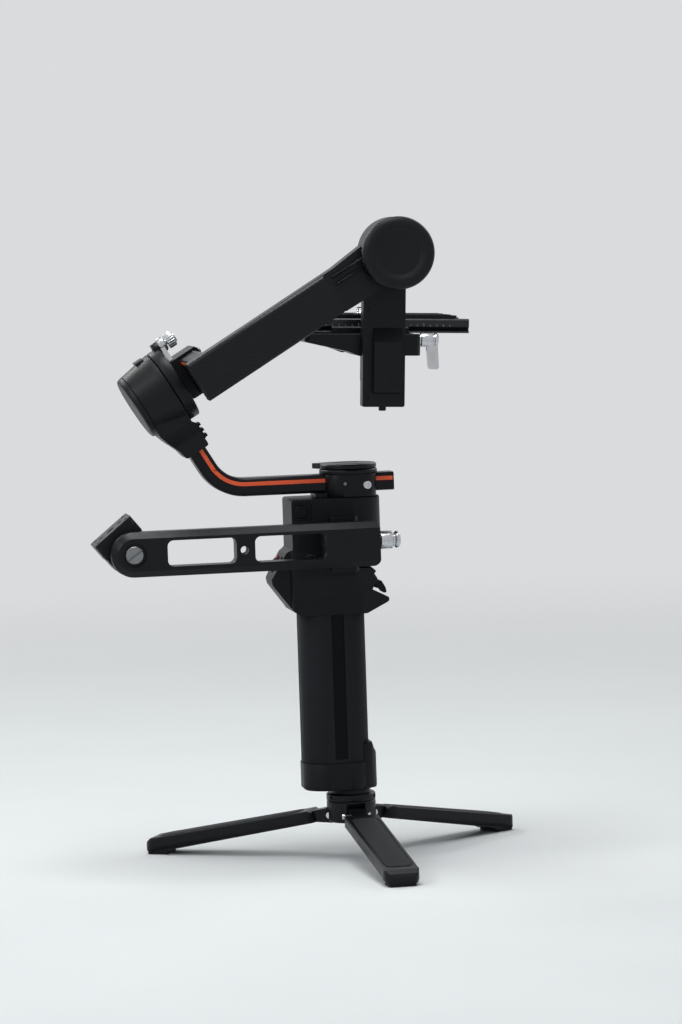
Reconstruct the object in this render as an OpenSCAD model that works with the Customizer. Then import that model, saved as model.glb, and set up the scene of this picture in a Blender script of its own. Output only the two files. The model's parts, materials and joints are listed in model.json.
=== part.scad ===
/* [Stance] */
// Handle axis ahead of the origin, which is the middle of the whole object on the ground
stand_x = 26.2; // [18:0.1:30]
// Handle axis to the left of the origin
stand_y = 33.6; // [28:0.1:44]

/* [Tripod] */
// Turn of the tripod about the handle axis
tripod_turn = 2.8; // [-8:0.1:8]
// Distance from the handle axis to the tip of a leg
foot_r = 164.5; // [150:0.5:175]
// Radius of the hub that the legs fold from
hub_r = 18.7; // [18:0.1:21]
// Height of the hub's lower face
hub_bottom = 27; // [26.5:0.5:28]
// Height of the hub's upper face
hub_top = 49; // [47:0.5:51]
// Width of a leg
leg_w = 27; // [24:0.5:30]
// Distance of a leg's pin from the handle axis
leg_pin_r = 14.5; // [14:0.1:15]
// Height of the leg pins
leg_pin_z = 32; // [31.5:0.5:32.5]

/* [Grip] */
// Centre of the grip behind the handle axis
grip_back = 11.3; // [9:0.1:13]
// Depth of the grip, front to back
grip_l = 50.4; // [46:0.1:54]
// Width of the grip
grip_w = 42; // [38:0.5:46]
// Height of the grip's lower face
grip_bottom = 53; // [51:0.5:55]
// Height where the grip meets the body
grip_top = 187; // [180:1:190]
// Height of the plain band at the foot of the grip
band_h = 20.7; // [16:0.1:24]

/* [Body] */
// Rear face of the body behind the handle axis
body_back = 42; // [40:0.5:46]
// Width of the body
body_w = 46; // [44:0.5:50]
// Height of the body's top
body_top = 275.4; // [274:0.1:275.8]
// Pan axis ahead of the handle axis
pan_x = 6; // [4:0.1:7]
// Radius of the barrel round the pan motor
barrel_r = 23; // [22.5:0.1:24]

/* [Pan arm] */
// Height of the middle of the pan arm
arm_z = 285.9; // [285:0.1:286.5]
// Thickness of the pan arm
arm_t = 13.8; // [12:0.1:14]
// Width of the pan arm
arm_w = 18; // [16:0.1:18.4]
// Front end of the pan arm ahead of the handle axis
arm_front = 39.6; // [36:0.1:44]
// Radius of the pan arm's bend, at its middle
bend_r = 32; // [26:1:38]

/* [Roll motor] */
// Slope of the roll axis above level
roll_slope = 31; // [29:0.5:33]
// Rear face of the roll motor, from the tilt axis along the roll axis
roll_rear = 218.5; // [217:0.5:221]
// Radius of the roll motor at its rear face
roll_r_rear = 25; // [25:0.1:26]
// Radius of the roll motor at its front
roll_r_front = 29.5; // [28.5:0.1:30]

/* [Roll arm] */
// Height of the roll arm's tube
tube_h = 32; // [30:0.5:34]
// Thickness of the roll arm's tube
tube_t = 18; // [16:0.5:19]
// Distance of the tube's outer face from the middle plane
tube_out = 88; // [86:0.5:90]
// Size of the slide bar along the roll axis
bar_t = 14; // [12:0.5:14]

/* [Tilt motor] */
// Tilt axis ahead of the handle axis
tilt_x = 31.6; // [29:0.1:34]
// Height of the tilt axis
tilt_z = 460.2; // [456:0.1:464]
// Radius of the tilt motor
tilt_r = 27; // [26:0.1:28]

/* [Camera carrier] */
// Slope of the camera plates from square to the handle, nose down
plate_slope = 2.5; // [0:0.5:4]
// Width of the tilt column
column_w = 32; // [31:0.5:34]
// Height of the column's foot
column_foot = 345; // [343:0.5:347]
// Height of the carrier's top, where the lower plate runs
carrier_z = 398.7; // [398:0.1:399.5]
// Length of the lower plate
lower_plate_l = 140; // [120:1:150]
// Length of the upper plate
upper_plate_l = 120; // [100:1:130]

/* [Side arm] */
// Pivot of the end block behind the handle axis
end_x = 167.3; // [160:0.1:172]
// Height of the side arm's middle
side_z = 243; // [242:0.1:244]
// Height of the side arm
side_h = 33.6; // [31:0.1:35]
// Thickness of the side arm
side_t = 15; // [12:0.5:16]
// Distance of the side arm's outer face from the middle plane
side_out = 62; // [61:0.5:64]
// Slope of the end block
block_slope = 39; // [0:1:90]

/* [Fits] */
// Radial clearance of a running fit
run = 0.05; // [0.02:0.01:0.09]
// Gap between parts that slide past each other
gap = 0.3; // [0.2:0.05:0.4]

/* [Hidden] */
$fn = 64;
smooth_fn = 40;
wall = 2.5;
turn = 90 - roll_slope;
arm_s = roll_rear - 22.2;
corner_t = (arm_z - tilt_z + arm_s * sin(roll_slope)) / cos(roll_slope);
corner_x = tilt_x - arm_s * cos(roll_slope) - corner_t * sin(roll_slope);
tangent = bend_r * tan(turn / 2);
bend_x = corner_x + tangent;
arm_end_t = -40;
tube_in = tube_out - tube_t;
tube_mid = tube_out - tube_t / 2;
tube_rear = 175;
tube_front = 55;
bar_s = 164;
bar_h = tube_h - 3;
shaft_r = 5.95;
bearing_bore = shaft_r + run;
side_in = side_out - side_t;
black = [0.09, 0.10, 0.11];
dark = [0.13, 0.14, 0.16];
rubber = [0.16, 0.17, 0.18];
steel = [0.75, 0.76, 0.78];
copper = [0.72, 0.42, 0.22];
accent = [0.93, 0.38, 0.22];
carbon = [0.18, 0.18, 0.22];

// Frames and common shapes

// Moves a piece from the handle's own axes to the object's
module stand() translate([stand_x, stand_y, 0]) children();

// Puts local x on the roll axis, forwards, with local z square to it, upwards
module on_roll() translate([tilt_x, 0, tilt_z]) rotate([0, -roll_slope, 0]) children();

// Lays a z-up shape along x
module along_x() rotate([0, 90, 0]) children();

// Lays a z-up shape along y, to the left
module along_y() rotate([-90, 0, 0]) children();

// Thickens an outline drawn in x and z, from y0 to y1
module side_slab(y0, y1) translate([0, y1, 0]) rotate([90, 0, 0]) linear_extrude(y1 - y0) children();

// Thickens an outline drawn in y and z, from x0 to x1
module front_slab(x0, x1) translate([x0, 0, 0]) rotate([90, 0, 90]) linear_extrude(x1 - x0) children();

// Thickens an outline drawn in x and y, from z0 to z1
module level_slab(z0, z1) translate([0, 0, z0]) linear_extrude(z1 - z0) children();

module rounded(w, h, r) {
  square([w - 2 * r, h], center = true);
  square([w, h - 2 * r], center = true);
  for (x = [-1, 1], y = [-1, 1]) translate([x * (w / 2 - r), y * (h / 2 - r)]) circle(r);
}

module soften(r) offset(r, $fn = smooth_fn) offset(-r) children();

module tube(outer, inner, h) difference() {
  cylinder(r = outer, h = h);
  translate([0, 0, -1]) cylinder(r = inner, h = h + 2);
}

// A turned disc with a small bevel on its rims
module turned(r, h, bevel) rotate_extrude()
  polygon([[0, 0], [r - bevel, 0], [r, bevel], [r, h - bevel], [r - bevel, h], [0, h]]);

// A knob with flutes round its rim
module fluted(r, h, flutes, bevel = 0.6) difference() {
  turned(r, h, bevel);
  for (i = [0 : flutes - 1]) rotate(i * 360 / flutes) translate([r + 0.35, 0, -1])
    cylinder(r = 0.8, h = h + 2, $fn = 16);
}

// Motor parts, drawn up z from 0

module stator(outer, bore, h) {
  teeth = 12;
  yoke = 2.4;
  tube(outer, outer - yoke, h);
  for (i = [0 : teeth - 1]) rotate(i * 360 / teeth) {
    translate([bore, -1.3, 0]) cube([outer - yoke / 2 - bore, 2.6, h]);
    translate([bore, -2.6, 0]) cube([1.2, 5.2, h]);
    translate([bore + 2.2, -2.3, -1]) cube([outer - yoke - bore - 3, 4.6, h + 2]);
  }
}

module bearing(outer, h) difference() {
  tube(outer, bearing_bore, h);
  for (z = [-0.5, h - 0.5]) translate([0, 0, z]) tube(outer - 1.2, bearing_bore + 1.2, 1);
}

module magnet_core(r, h) {
  poles = 14;
  difference() {
    cylinder(r = r, h = h);
    for (i = [0 : poles - 1]) rotate(i * 360 / poles) translate([r - 1.6, -0.4, -1]) cube([3, 0.8, h + 2]);
  }
}

// Tripod

leg_turns = [tripod_turn - 90, tripod_turn + 30, tripod_turn + 150];
leg_drop = 10;
tongue_w = 13;
slot_top = 42;

module tripod_hub() stand() color(black) difference() {
  rotate_extrude() polygon([
    [0, hub_bottom], [hub_r - 1.5, hub_bottom], [hub_r, hub_bottom + 1.5], [hub_r, 42.4],
    [hub_r - 0.7, 43], [hub_r, 43.6], [hub_r, hub_top - 1], [hub_r - 1, hub_top],
    [15, hub_top], [15, grip_bottom], [0, grip_bottom]
  ]);
  for (a = leg_turns) rotate(a) {
    translate([5.6, -tongue_w / 2 - gap, hub_bottom - 1])
      cube([20, tongue_w + 2 * gap, slot_top + 1 - hub_bottom]);
    translate([leg_pin_r, 11.5, leg_pin_z]) rotate([90, 0, 0]) cylinder(r = 2.5, h = 23);
  }
  translate([0, 0, 38]) cylinder(r = 3.2, h = 20);
  for (a = leg_turns) rotate(a + 60) translate([hub_r - 1.2, -3.5, 45]) cube([3, 7, 2.4]);
}

module hub_screw() stand() color(steel) {
  translate([0, 0, 38]) cylinder(r = 3.2, h = 24);
}

module leg_pins() stand() color(steel) for (a = leg_turns) rotate(a)
  translate([leg_pin_r, 11.2, leg_pin_z]) rotate([90, 0, 0]) cylinder(r = 2.5, h = 22.4);

module leg_outline() polygon([
  [25, 26.5], [29.5, 34], [32.5, 35.1], [foot_r - 5, 12.75], [foot_r - 1.5, 9.8], [foot_r, 7.5],
  [foot_r, 5.5], [foot_r - 1.5, 2.4], [foot_r - 20, 2.4], [foot_r - 25, 4.6]
]);

// Puts local x along a leg, from its pin
module on_leg() translate([leg_pin_r, 0, leg_pin_z]) rotate([0, leg_drop, 0]) children();

leg_skin = 6.2;
leg_bevel = 3;

// A leg cut across: flat on top, bevelled below
module leg_section() polygon([
  [-leg_w / 2 + leg_bevel, -12], [-leg_w / 2 + leg_bevel, -4], [-leg_w / 2, -1],
    [-leg_w / 2, leg_skin - 0.9],
  [-leg_w / 2 + 0.9, leg_skin], [leg_w / 2 - 0.9, leg_skin], [leg_w / 2, leg_skin - 0.9], [leg_w / 2, -1],
  [leg_w / 2 - leg_bevel, -4], [leg_w / 2 - leg_bevel, -12]
]);

module leg() difference() {
  union() {
    intersection() {
      side_slab(-leg_w / 2, leg_w / 2) leg_outline();
      level_slab(0, 60) leg_plan();
      on_leg() front_slab(0, foot_r + 10) leg_section();
    }
    intersection() {
      side_slab(-tongue_w / 2, tongue_w / 2) union() {
        translate([leg_pin_r, leg_pin_z]) circle(6.4);
        polygon([[leg_pin_r - 1, 25.7], [27, 26.2], [34, 28], [34, 33.6], [leg_pin_r + 1, 37.4]]);
      }
      translate([0, -20, 0]) cube([40, 40, 60]);
    }
  }
  translate([leg_pin_r, 20, leg_pin_z]) rotate([90, 0, 0]) cylinder(r = 2.5 + run, h = 40);
  leg_panel_recess();
}

// The leg seen from above: a bar with rounded ends
module leg_plan() {
  translate([36, -leg_w / 2]) square([foot_r - 36 - 8, leg_w]);
  translate([26, -leg_w / 2 + 10]) square([12, leg_w - 20]);
  for (y = [-1, 1]) translate([36, y * (leg_w / 2 - 10)]) circle(10);
  translate([foot_r - 8, -leg_w / 2 + 8]) square([8, leg_w - 16]);
  for (y = [-1, 1]) translate([foot_r - 8, y * (leg_w / 2 - 8)]) circle(8);
}

// A shallow groove round the panel let into the top of a leg
module leg_panel_recess() on_leg() {
  panel_l = foot_r - 47.5;
  panel_w = leg_w - 5;
  translate([24 + panel_l / 2, 0, leg_skin - 0.6]) linear_extrude(4) difference() {
    rounded(panel_l, panel_w, 6);
    rounded(panel_l - 2, panel_w - 2, 5);
  }
}

module foot_pad() level_slab(0, 2.4) intersection() {
  leg_plan();
  translate([foot_r - 18, -leg_w / 2 + 3.4]) square([16, leg_w - 6.8]);
}

module leg_front() stand() color(black) rotate(leg_turns[0]) leg();
module leg_left() stand() color(black) rotate(leg_turns[1]) leg();
module leg_right() stand() color(black) rotate(leg_turns[2]) leg();
module foot_pads_front() stand() color(rubber) rotate(leg_turns[0]) foot_pad();
module foot_pads_left() stand() color(rubber) rotate(leg_turns[1]) foot_pad();
module foot_pads_right() stand() color(rubber) rotate(leg_turns[2]) foot_pad();

// Grip

grip_r = 17;
strip_w = 9.5;
flare_low = grip_bottom + band_h + 4.3;

module grip_plan(more = 0) translate([-grip_back, 0])
  rounded(grip_l + 2 * more, grip_w + 2 * more, grip_r + more);

module grip_base() stand() color(dark) difference() {
  union() {
    level_slab(grip_bottom + 1.5, grip_bottom + band_h) grip_plan(0.8);
    level_slab(grip_bottom, grip_bottom + 1.5) grip_plan(-0.7);
    intersection() {
      side_slab(-17, 17) polygon([
        [0, grip_bottom + 0.2], [17.9, grip_bottom + 0.2], [19.5, grip_bottom + 2], [19.5, flare_low],
        [18.7, flare_low + 2.4], [16.8, flare_low + 5.2], [15, flare_low + 10.5],
          [11, flare_low + 10.5], [0, flare_low]
      ]);
      level_slab(grip_bottom, flare_low + 12) translate([2.5, 0]) rounded(34, 34, 13);
    }
  }
  translate([0, 0, grip_bottom - 1]) cylinder(r = 3.2, h = 10);
  level_slab(grip_bottom + 12, grip_top) grip_plan(-wall);
  level_slab(grip_bottom + band_h, grip_top) grip_plan(gap);
}

module grip_shell() stand() color(dark) difference() {
  level_slab(grip_bottom + band_h, grip_top) grip_plan(-1);
  level_slab(grip_bottom + band_h - 1, grip_top + 1) grip_plan(-1 - wall);
}

module grip_panels() stand() color(rubber) difference() {
  level_slab(grip_bottom + band_h, grip_top) grip_plan();
  level_slab(grip_bottom + band_h - 1, grip_top + 1) grip_plan(-1);
  translate([-grip_back + 1.8 - strip_w / 2, -grip_w, grip_bottom + band_h + 3])
    cube([strip_w, 2 * grip_w, 200]);
}

module battery_cells() stand() color("seagreen") for (x = [-9.4, 9.4], z = [0, 60.5])
  translate([x - grip_back, 0, grip_bottom + 12 + z]) turned(9.2, 59, 0.8);

module grip_lock() stand() color(dark) translate([-6, grip_w / 2 - 2.5, 197]) {
  side_slab(0, 3.6) rounded(16, 8, 2);
  for (x = [-4.5, -1.5, 1.5, 4.5]) translate([x - 0.5, 3.2, -3]) cube([1, 1.4, 6]);
}

// Body

module body_side() soften(2.2) polygon([
  [-36.5, grip_top], [-42, 190.5], [-57, 210.5], [-58, 215], [-46.5, 235], [-body_back, 238],
  [-body_back, body_top], [pan_x, body_top], [pan_x, 222], [18, 221], [24, 212], [21, 208.5],
  [19, 204.5], [33.6, 197.2], [33, 194.6], [14.3, grip_top]
]);

module body_front() soften(6) polygon([
  [-20.5, grip_top - 8], [20.5, grip_top - 8], [20.5, 200], [body_w / 2, 216], [body_w / 2, body_top + 8],
  [-body_w / 2, body_top + 8], [-body_w / 2, 216], [-20.5, 200]
]);

module body_plan() soften(7) polygon([
  [-60, -15], [-44, -17], [-body_back, -body_w / 2], [pan_x, -body_w / 2], [24, -14], [35, -9],
  [35, 9], [24, 14], [pan_x, body_w / 2], [-body_back, body_w / 2], [-44, 17], [-60, 15]
]);

pod_normal = 30;
pod_x = -51.8;
pod_z = 225.4;

// Puts local z square to the thumb pod's face
module on_pod() translate([pod_x, 0, pod_z]) rotate([0, pod_normal - 90, 0]) children();

dial_r = 8;
module on_dial() translate([17, 0, 219.5]) rotate([0, 38, 0]) children();

trigger_x = 20.5;
trigger_z = 209.8;

module body_solid() {
  intersection() {
    side_slab(-40, 40) body_side();
    front_slab(-70, 50) body_front();
    level_slab(grip_top - 1, body_top + 1) body_plan();
  }
  translate([pan_x, 0, 224]) rotate_extrude() polygon([
    [0, 0], [barrel_r - 4, 0], [barrel_r, 4], [barrel_r, body_top - 225],
      [barrel_r - 1, body_top - 224], [0, body_top - 224]
  ]);
}

cover_y = 19;

module body_cavities() {
  translate([pan_x, 0, 242]) cylinder(r = 19.6, h = 25);
  translate([pan_x, 0, 266]) cylinder(r = 11, h = 12);
  translate([pan_x, 0, 236]) cylinder(r = 9, h = 8);
  translate([-36, -15, 226]) cube([16, 32, 44]);
  translate([-30, -13, 192]) cube([34, 26, 32]);
  on_dial() translate([0, 0, -3.6]) cylinder(r = dial_r + 0.5, h = 7.2);
  on_dial() translate([0, 0, -8]) cylinder(r = 2.5, h = 16);
  translate([trigger_x - 1.5, -8.5, trigger_z - 10.6]) cube([16, 17, 12.1]);
  translate([trigger_x + 3, 12, trigger_z - 1.6]) rotate([90, 0, 0]) cylinder(r = 1.5, h = 24);
  on_pod() translate([0, 0, -6]) cylinder(r = 6.8, h = 12);
  on_pod() translate([0, 0, -14]) cylinder(r = 3.5, h = 10);
  on_pod() translate([-8, 0, -2]) along_x() cylinder(r = 0.9 + run, h = 16, $fn = 24);
  for (y = [-9.2, 9.2]) on_pod() translate([4.5, y, -3.6]) cylinder(r = 3.1, h = 8.6);
  translate([-34.4, -body_w / 2 - 1, 266.4]) rotate([-90, 0, 0]) {
    linear_extrude(2.4) rounded(15.5, 14, 2.5);
    cylinder(r = 5.3, h = 7);
  }
  translate([-14.3, grip_w / 2 - 2.8, 192.7]) cube([23, 8, 8.6]);
}

module body_shell() stand() color(dark) difference() {
  body_solid();
  body_cavities();
  translate([-38.5, cover_y, 222]) cube([36, 10, 48]);
}

module body_cover() stand() color(black) intersection() {
  body_solid();
  difference() {
    translate([-38.5, cover_y, 222]) cube([36, 10, 48]);
    translate([-36, body_w / 2 - 1.6, 231]) cube([31, 4, 35]);
  }
}

module touchscreen() stand() color([0.02, 0.02, 0.03])
  translate([-20.5, 0, 248.5]) side_slab(body_w / 2 - 1.6, body_w / 2 - 0.2) rounded(31, 35, 0.6);

module main_board() stand() color([0.05, 0.25, 0.15]) {
  translate([-34.5, -13, 226]) cube([1.6, 29, 42]);
  translate([-33, -11, 232]) cube([2.2, 14, 14]);
  translate([-33, 3, 250]) cube([1.4, 10, 8]);
  translate([-33, -10, 254]) cube([4, 9, 8]);
}

// Accessory rail: the outline is drawn across the rail, with y away from the body
rail_w = 21.2;
rail_t = 6;
rail_x = -3;
rail_low = 220;
rail_high = 262;

module rail_outline(more = 0) polygon([
  [-rail_w / 2 + 2.6 - more, -1], [-rail_w / 2 + 2.6 - more, 1.2 - more], [-rail_w / 2 - more, 3.4],
  [-rail_w / 2 + 2.6 - more, rail_t + more], [rail_w / 2 - 2.6 + more, rail_t + more],
    [rail_w / 2 + more, 3.4],
  [rail_w / 2 - 2.6 + more, 1.2 - more], [rail_w / 2 - 2.6 + more, -1]
]);

module rail() difference() {
  translate([rail_x, body_w / 2, 0]) level_slab(rail_low, rail_high) intersection() {
    rail_outline();
    translate([-20, 0]) square([40, 20]);
  }
  for (z = [rail_low + 9, rail_high - 9])
    translate([rail_x - 20, body_w / 2 + rail_t - 1.5, z - 1.5]) cube([40, 3, 3]);
  translate([rail_x, body_w / 2 - 1, (rail_low + rail_high) / 2]) rotate([-90, 0, 0])
    cylinder(r = 3.2, h = 12);
}

module accessory_rails() stand() color(black) for (m = [0, 1]) mirror([0, m, 0]) rail();

module front_dial() stand() color(black) on_dial() {
  translate([0, 0, -3.2]) fluted(dial_r, 6.4, 24);
  translate([0, 0, -7.5]) cylinder(r = 2.5 - run, h = 15);
}

module trigger() stand() color(black) translate([trigger_x + 3, 0, trigger_z - 1.6]) difference() {
  union() {
    side_slab(-7.6, 7.6) soften(0.8) polygon([[-3, 2], [4.2, 2], [7.2, -3.2], [8, -7.2], [5.6, -7.4],
      [3.8, -4.6], [-1, -3], [-3, -2]]);
    translate([0, 7.6, 0]) rotate([90, 0, 0]) cylinder(r = 3, h = 15.2);
    translate([0, 11, 0]) rotate([90, 0, 0]) cylinder(r = 1.5 - run, h = 22);
  }
}

module joystick_gimbal() stand() color(steel) on_pod() translate([0, 0, -3]) difference() {
  union() {
    tube(5, 3.6, 2);
    for (x = [-7.6, 4.4]) translate([x, 0, 1]) along_x() cylinder(r = 0.9, h = 3.2, $fn = 24);
  }
  translate([0, 6, 1]) rotate([90, 0, 0]) cylinder(r = 0.8 + run, h = 12, $fn = 24);
}

module joystick_cap() stand() color(black) on_pod() {
  translate([0, 0, -3.2]) cylinder(r = 1.4, h = 5);
  translate([0, 4.6, -2]) rotate([90, 0, 0]) cylinder(r = 0.8, h = 9.2, $fn = 24);
  translate([0, 0, 1.2]) rotate_extrude() polygon([[0, 0], [3.6, 0], [4.6, 1], [4.2, 2.2], [2.6, 2.6],
    [2, 2.2], [0, 2]]);
}

module pod_button(y) on_pod() translate([4.5, y, -2.6]) turned(3.1 - 0.15, 3.9, 0.5);

module mode_button() stand() color(black) pod_button(-9.2);
module record_button() stand() color("firebrick") pod_button(9.2);

module power_button() stand() color(black) translate([-34.4, -body_w / 2 + 4.4, 266.4]) rotate([90, 0, 0]) {
  difference() {
    turned(5.1, 3.6, 0.5);
    translate([0, 0, 3.1]) tube(3.1, 2.4, 1);
  }
}

// Pan motor

module pan_stator() stand() color(copper) translate([pan_x, 0, 247]) stator(19.6, 12.4, 13);

module pan_bearings() stand() color(steel) {
  translate([pan_x, 0, 236]) bearing(9, 5);
  translate([pan_x, 0, 268]) bearing(11, 5.4);
}

module pan_rotor() stand() color(steel) translate([pan_x, 0, 0]) {
  translate([0, 0, 236.4]) cylinder(r = shaft_r, h = 41.7);
  translate([0, 0, 247]) magnet_core(12, 13);
}

clamp_l = 39;
clamp_w = 40;
clamp_low = 276;
arm_low = arm_z - arm_t / 2;
arm_high = arm_z + arm_t / 2;
clamp_top = arm_high + gap + 3;
lever_h = 4;

module pan_clamp() stand() color(dark) translate([pan_x, 0, 0]) difference() {
  union() {
    level_slab(clamp_low, clamp_top - 3.4) rounded(clamp_l, clamp_w, 12);
    translate([0, 0, clamp_top - 3.4]) turned(22, 3.4, 0.5);
    translate([-clamp_l / 2 - 8, -12, clamp_low]) cube([16, 24, 2.6]);
  }
  translate([-40, -arm_w / 2 - gap, arm_low - gap]) cube([80, arm_w + 2 * gap, arm_t + 2 * gap]);
  translate([0, 0, clamp_low - 1]) cylinder(r = shaft_r, h = 3.1);
  translate([0, 0, arm_high]) cylinder(r = 3 + run, h = 8);
  for (y = [-1, 1]) translate([-6, y * 30, arm_z]) rotate([90, 0, 0]) translate([0, 0, -12])
    cylinder(r = 1.6, h = 24, $fn = 24);
  translate([11, -25, arm_z - 1.5]) rotate([-90, 0, 0]) cylinder(r = 3.2, h = 7);
}

module pan_lever() stand() color(black) translate([pan_x, 0, clamp_top + gap]) difference() {
  union() {
    turned(21.5, lever_h, 0.8);
    translate([0, 0, -2.8]) cylinder(r = 3, h = 4);
    translate([-15, 13, 0]) rotate(25) translate([-9, -4, 0]) cube([18, 9, lever_h]);
  }
  for (a = [0, 180]) rotate(a) translate([0, 11, lever_h - 1.6]) linear_extrude(3) rounded(22, 4.4, 2.1);
}

// Pan arm: one section swept along the level run, the bend and the rise to the roll motor

// Stations along the arm: place in x and z,
// then the angle from upright of the side that faces the bend's centre
bend_steps = 14;

function stations(from_x, to_t) = concat(
  [[from_x, arm_z, 0]],
  [for (i = [0 : bend_steps]) let (a = turn * i / bend_steps) [bend_x - bend_r * sin(a),
    arm_z + bend_r * (1 - cos(a)), a]],
  [[
    tilt_x - arm_s * cos(roll_slope) - to_t * sin(roll_slope),
    tilt_z - arm_s * sin(roll_slope) + to_t * cos(roll_slope),
    turn
  ]]
);

// Sweeps a section given as [towards the bend's centre, across] points through the stations
module swept(rings, section) {
  n = len(section);
  last = (len(rings) - 1) * n;
  points = [for (r = rings, p = section) [r[0] + p[0] * sin(r[2]), p[1], r[1] + p[0] * cos(r[2])]];
  sides = [for (k = [0 : len(rings) - 2], i = [0 : n - 1])
    [k * n + i, k * n + (i + 1) % n, (k + 1) * n + (i + 1) % n, (k + 1) * n + i]];
  polyhedron(points, concat(sides, [[for (i = [n - 1 : -1 : 0]) i], [for (i = [0 : n - 1]) last + i]]));
}

arm_edge = 2.4;
stripe_low = 0.8;
stripe_high = 4;
stripe_d = 0.5;
neck_t = -52;

function arc(cx, cy, r, a0) = [for (a = [a0 : 18 : a0 + 90]) [cx + r * cos(a), cy + r * sin(a)]];

// The arm's section: a rounded bar with a shallow groove for the stripe down each side
function arm_section() = let (h = arm_t / 2 - arm_edge, w = arm_w / 2 - arm_edge, side = arm_w / 2) concat(
  arc(h, w, arm_edge, 0),
  [[stripe_high, side], [stripe_high, side - stripe_d], [stripe_low, side - stripe_d], [stripe_low, side]],
  arc(-h, w, arm_edge, 90),
  arc(-h, -w, arm_edge, 180),
  [[stripe_low, -side], [stripe_low, stripe_d - side], [stripe_high, stripe_d - side],
    [stripe_high, -side]],
  arc(h, -w, arm_edge, 270)
);

function stripe_section(side) = [
  [stripe_high, side], [stripe_low, side], [stripe_low, side - stripe_d], [stripe_high, side - stripe_d]
];

module pan_arm() stand() color(black) swept(stations(arm_front, arm_end_t), arm_section());

module arm_stripes() stand() color(accent) for (m = [0, 1]) mirror([0, m, 0])
  swept(stations(arm_front - 1, neck_t), [for (i = [3 : -1 : 0]) stripe_section(arm_w / 2)[i]]);

// Roll motor: local x runs along the roll axis from the tilt axis

cap_s = roll_rear - 4.9;
drum_s = 188.4;
ring_s = 187.9;
ring_front = 179;
neck_front = 186.4;

function drum_r(s) = roll_r_rear + (roll_r_front - roll_r_rear) * (roll_rear - s) / (roll_rear - drum_s);

module roll_drum() {
  translate([-cap_s, 0, 0]) along_x() rotate_extrude()
    polygon([[0, 0], [drum_r(cap_s) - 0.4, 0], [drum_r(cap_s), 0.4], [roll_r_front, cap_s - drum_s - 0.4],
      [roll_r_front - 0.4, cap_s - drum_s], [0, cap_s - drum_s]]);
}

module roll_neck() intersection() {
  side_slab(-20, 20) soften(2) polygon([
    [-206, -10], [-214.8, -18], [-215, -26], [-212.5, -34], [-208.2, -44], [-206.4, neck_t],
    [-neck_front, neck_t], [-neck_front, -31.2], [-drum_s, -30.4], [-drum_s, -10]
  ]);
  front_slab(-roll_rear - 1, -180) soften(3) polygon([
    [-20, -6], [-18, -28], [-11.8, -40], [-11.8, neck_t - 4], [11.8, neck_t - 4], [11.8, -40],
      [18, -28], [20, -6]
  ]);
}

module roll_housing() stand() color(black) on_roll() difference() {
  union() {
    roll_drum();
    roll_neck();
    translate([-200, -7, 27]) front_slab(0, 7) translate([7, 0]) rounded(14, 5, 1.4);
  }
  translate([-cap_s - 9, 0, 0]) along_x() cylinder(r = drum_r(cap_s) + gap, h = 9);
  translate([-cap_s - 1, 0, 0]) along_x() cylinder(r = 22.4, h = cap_s - 193.6);
  translate([-196, 0, 0]) along_x() cylinder(r = 9, h = 12);
  translate([-arm_s, 0, neck_t - 1]) linear_extrude(arm_end_t - neck_t + 1) rounded(arm_t, arm_w, 2.4);
  translate([-arm_s - 4, -5, arm_end_t - 1]) cube([8, 10, 22]);
}

module roll_cap() stand() color(black) on_roll() translate([-roll_rear, 0, 0]) along_x() rotate_extrude()
  difference() {
    polygon([[0, 0], [roll_r_rear - 2.4, 0], [roll_r_rear - 0.7, 0.6], [roll_r_rear, 1.9],
      [drum_r(cap_s), 4.4],
      [drum_r(cap_s) - 0.5, 4.9], [22.2, 4.9], [22.2, 6.9], [12, 6.9], [12, 8.4], [0, 8.4]]);
    translate([0, 3.4]) square([9, 10]);
    translate([14, -1]) square([0.5, 1.4]);
  }

module roll_stator() stand() color(copper) on_roll() translate([-207, 0, 0])
  along_x() stator(22.4, 14.4, 11);

module roll_bearings() stand() color(steel) on_roll() {
  translate([-roll_rear + 3.4, 0, 0]) along_x() bearing(9, 4.6);
  translate([-193.4, 0, 0]) along_x() bearing(9, 4.6);
}

module roll_lock() stand() color(black) on_roll() translate([-neck_front + 0.2, 0, -47]) {
  translate([0, -5.5, 0]) cube([1.6, 11, 13]);
  for (z = [0.5, 5.3, 10.1]) translate([1.4, -5.5, z]) cube([2, 11, 2.4]);
}

module roll_rotor() stand() color(steel) on_roll() {
  translate([-roll_rear + 4, 0, 0]) along_x() cylinder(r = shaft_r, h = roll_rear - 4 - 181);
  translate([-207, 0, 0]) along_x() magnet_core(14, 11);
}

clamp_front = 154.6;
clamp_h = 33;
ear_s = 182.5;
ear_l = 5;
knob_t = 29.5;
knob_s = ear_s - ear_l - gap;
bar_gap = 0.3;

module roll_clamp() stand() color(dark) on_roll() difference() {
  union() {
    translate([-ring_s, 0, 0]) along_x() turned(roll_r_front, ring_s - ring_front, 0.6);
    translate([-(ring_front + clamp_front) / 2, 0, 0])
      side_slab(-15, 15) rounded(ring_front - clamp_front + 0.2, clamp_h, 3);
    front_slab(-ear_s, -ear_s + ear_l) {
      translate([0, knob_t]) circle(4.5);
      translate([-4.5, 10]) square([9, knob_t - 10]);
    }
  }
  translate([-bar_s - bar_t / 2 - bar_gap, -40, -bar_h / 2 - bar_gap])
    cube([bar_t + 2 * bar_gap, 80, bar_h + 2 * bar_gap]);
  translate([-ring_s - 1, 0, 0]) along_x() cylinder(r = shaft_r, h = 8);
  translate([-ear_s - 1, 0, knob_t]) along_x() cylinder(r = 1.9 + run, h = ear_l + 2);
  for (y = [-12, 12], t = [-12, 12])
    translate([-clamp_front - 0.9, y, t]) along_x() cylinder(r = 1.4, h = 3, $fn = 24);
}

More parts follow.
